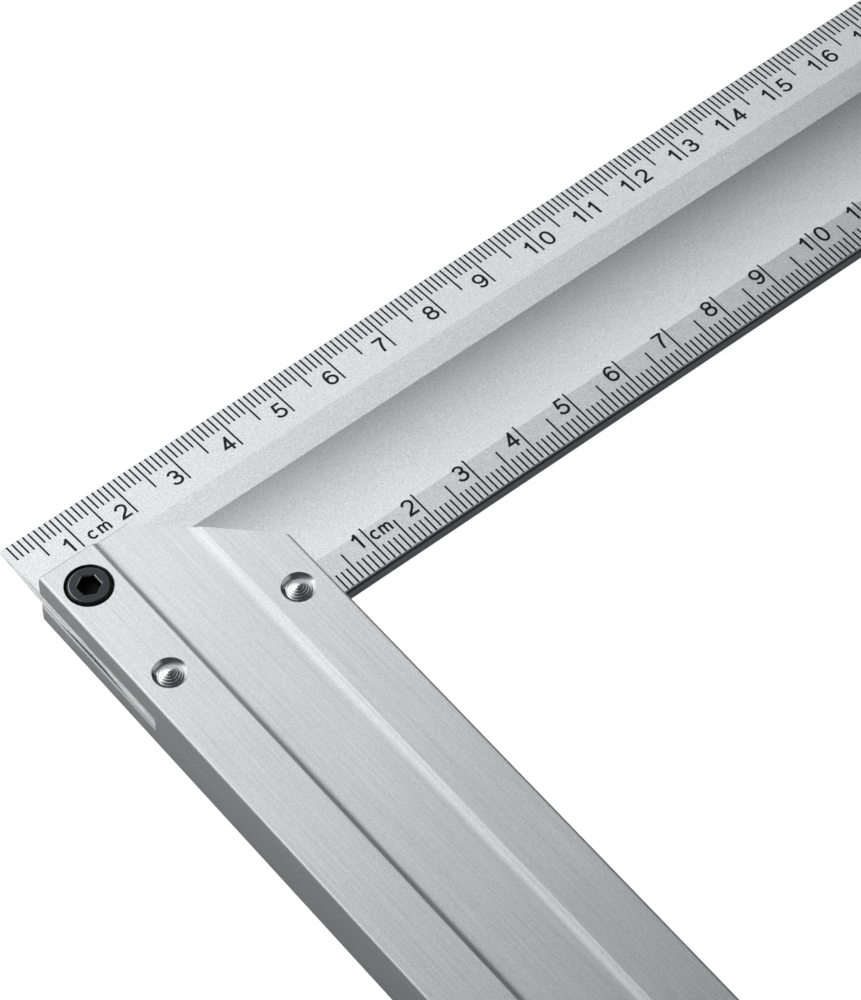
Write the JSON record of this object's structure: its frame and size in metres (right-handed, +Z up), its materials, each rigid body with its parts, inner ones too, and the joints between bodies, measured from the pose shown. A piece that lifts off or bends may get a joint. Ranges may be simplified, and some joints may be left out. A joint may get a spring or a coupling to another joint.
{
  "type": "carpenter square",
  "caption": "Flat square for marking and checking right angles: a graduated blade with a hollow in each face, let into the slotted end of a thick grooved stock.",
  "frame": {"origin": "under the middle of the square's bounding box, on the plane that the stock's underside rests on", "axes": "+X along the blade towards its far end, +Y from the stock's free end towards the blade's outer edge, +Z up, through the blade's thickness"},
  "size_m": [0.3, 0.175, 0.012],
  "materials": {
    "stock_aluminium": "matt silver anodised extrusion with faint lengthwise brushing",
    "blade_aluminium": "matt silver anodised, black printed scales",
    "pin_aluminium": "bright turned",
    "black_screw_steel": "black oxide, lightly oiled"
  },
  "bodies": {
    "square": {"stock": "stock_aluminium", "blade": "blade_aluminium", "pins": "pin_aluminium"},
    "screw": {"socket_screw": "black_screw_steel"}
  },
  "joints": [
    {"name": "screw_turn", "type": "hinge", "parent": "square", "child": "screw", "pos_m": [-0.1448, 0.0707, 0.0087], "axis": [0, 0, 1], "range_deg": [0, 90]}
  ]
}
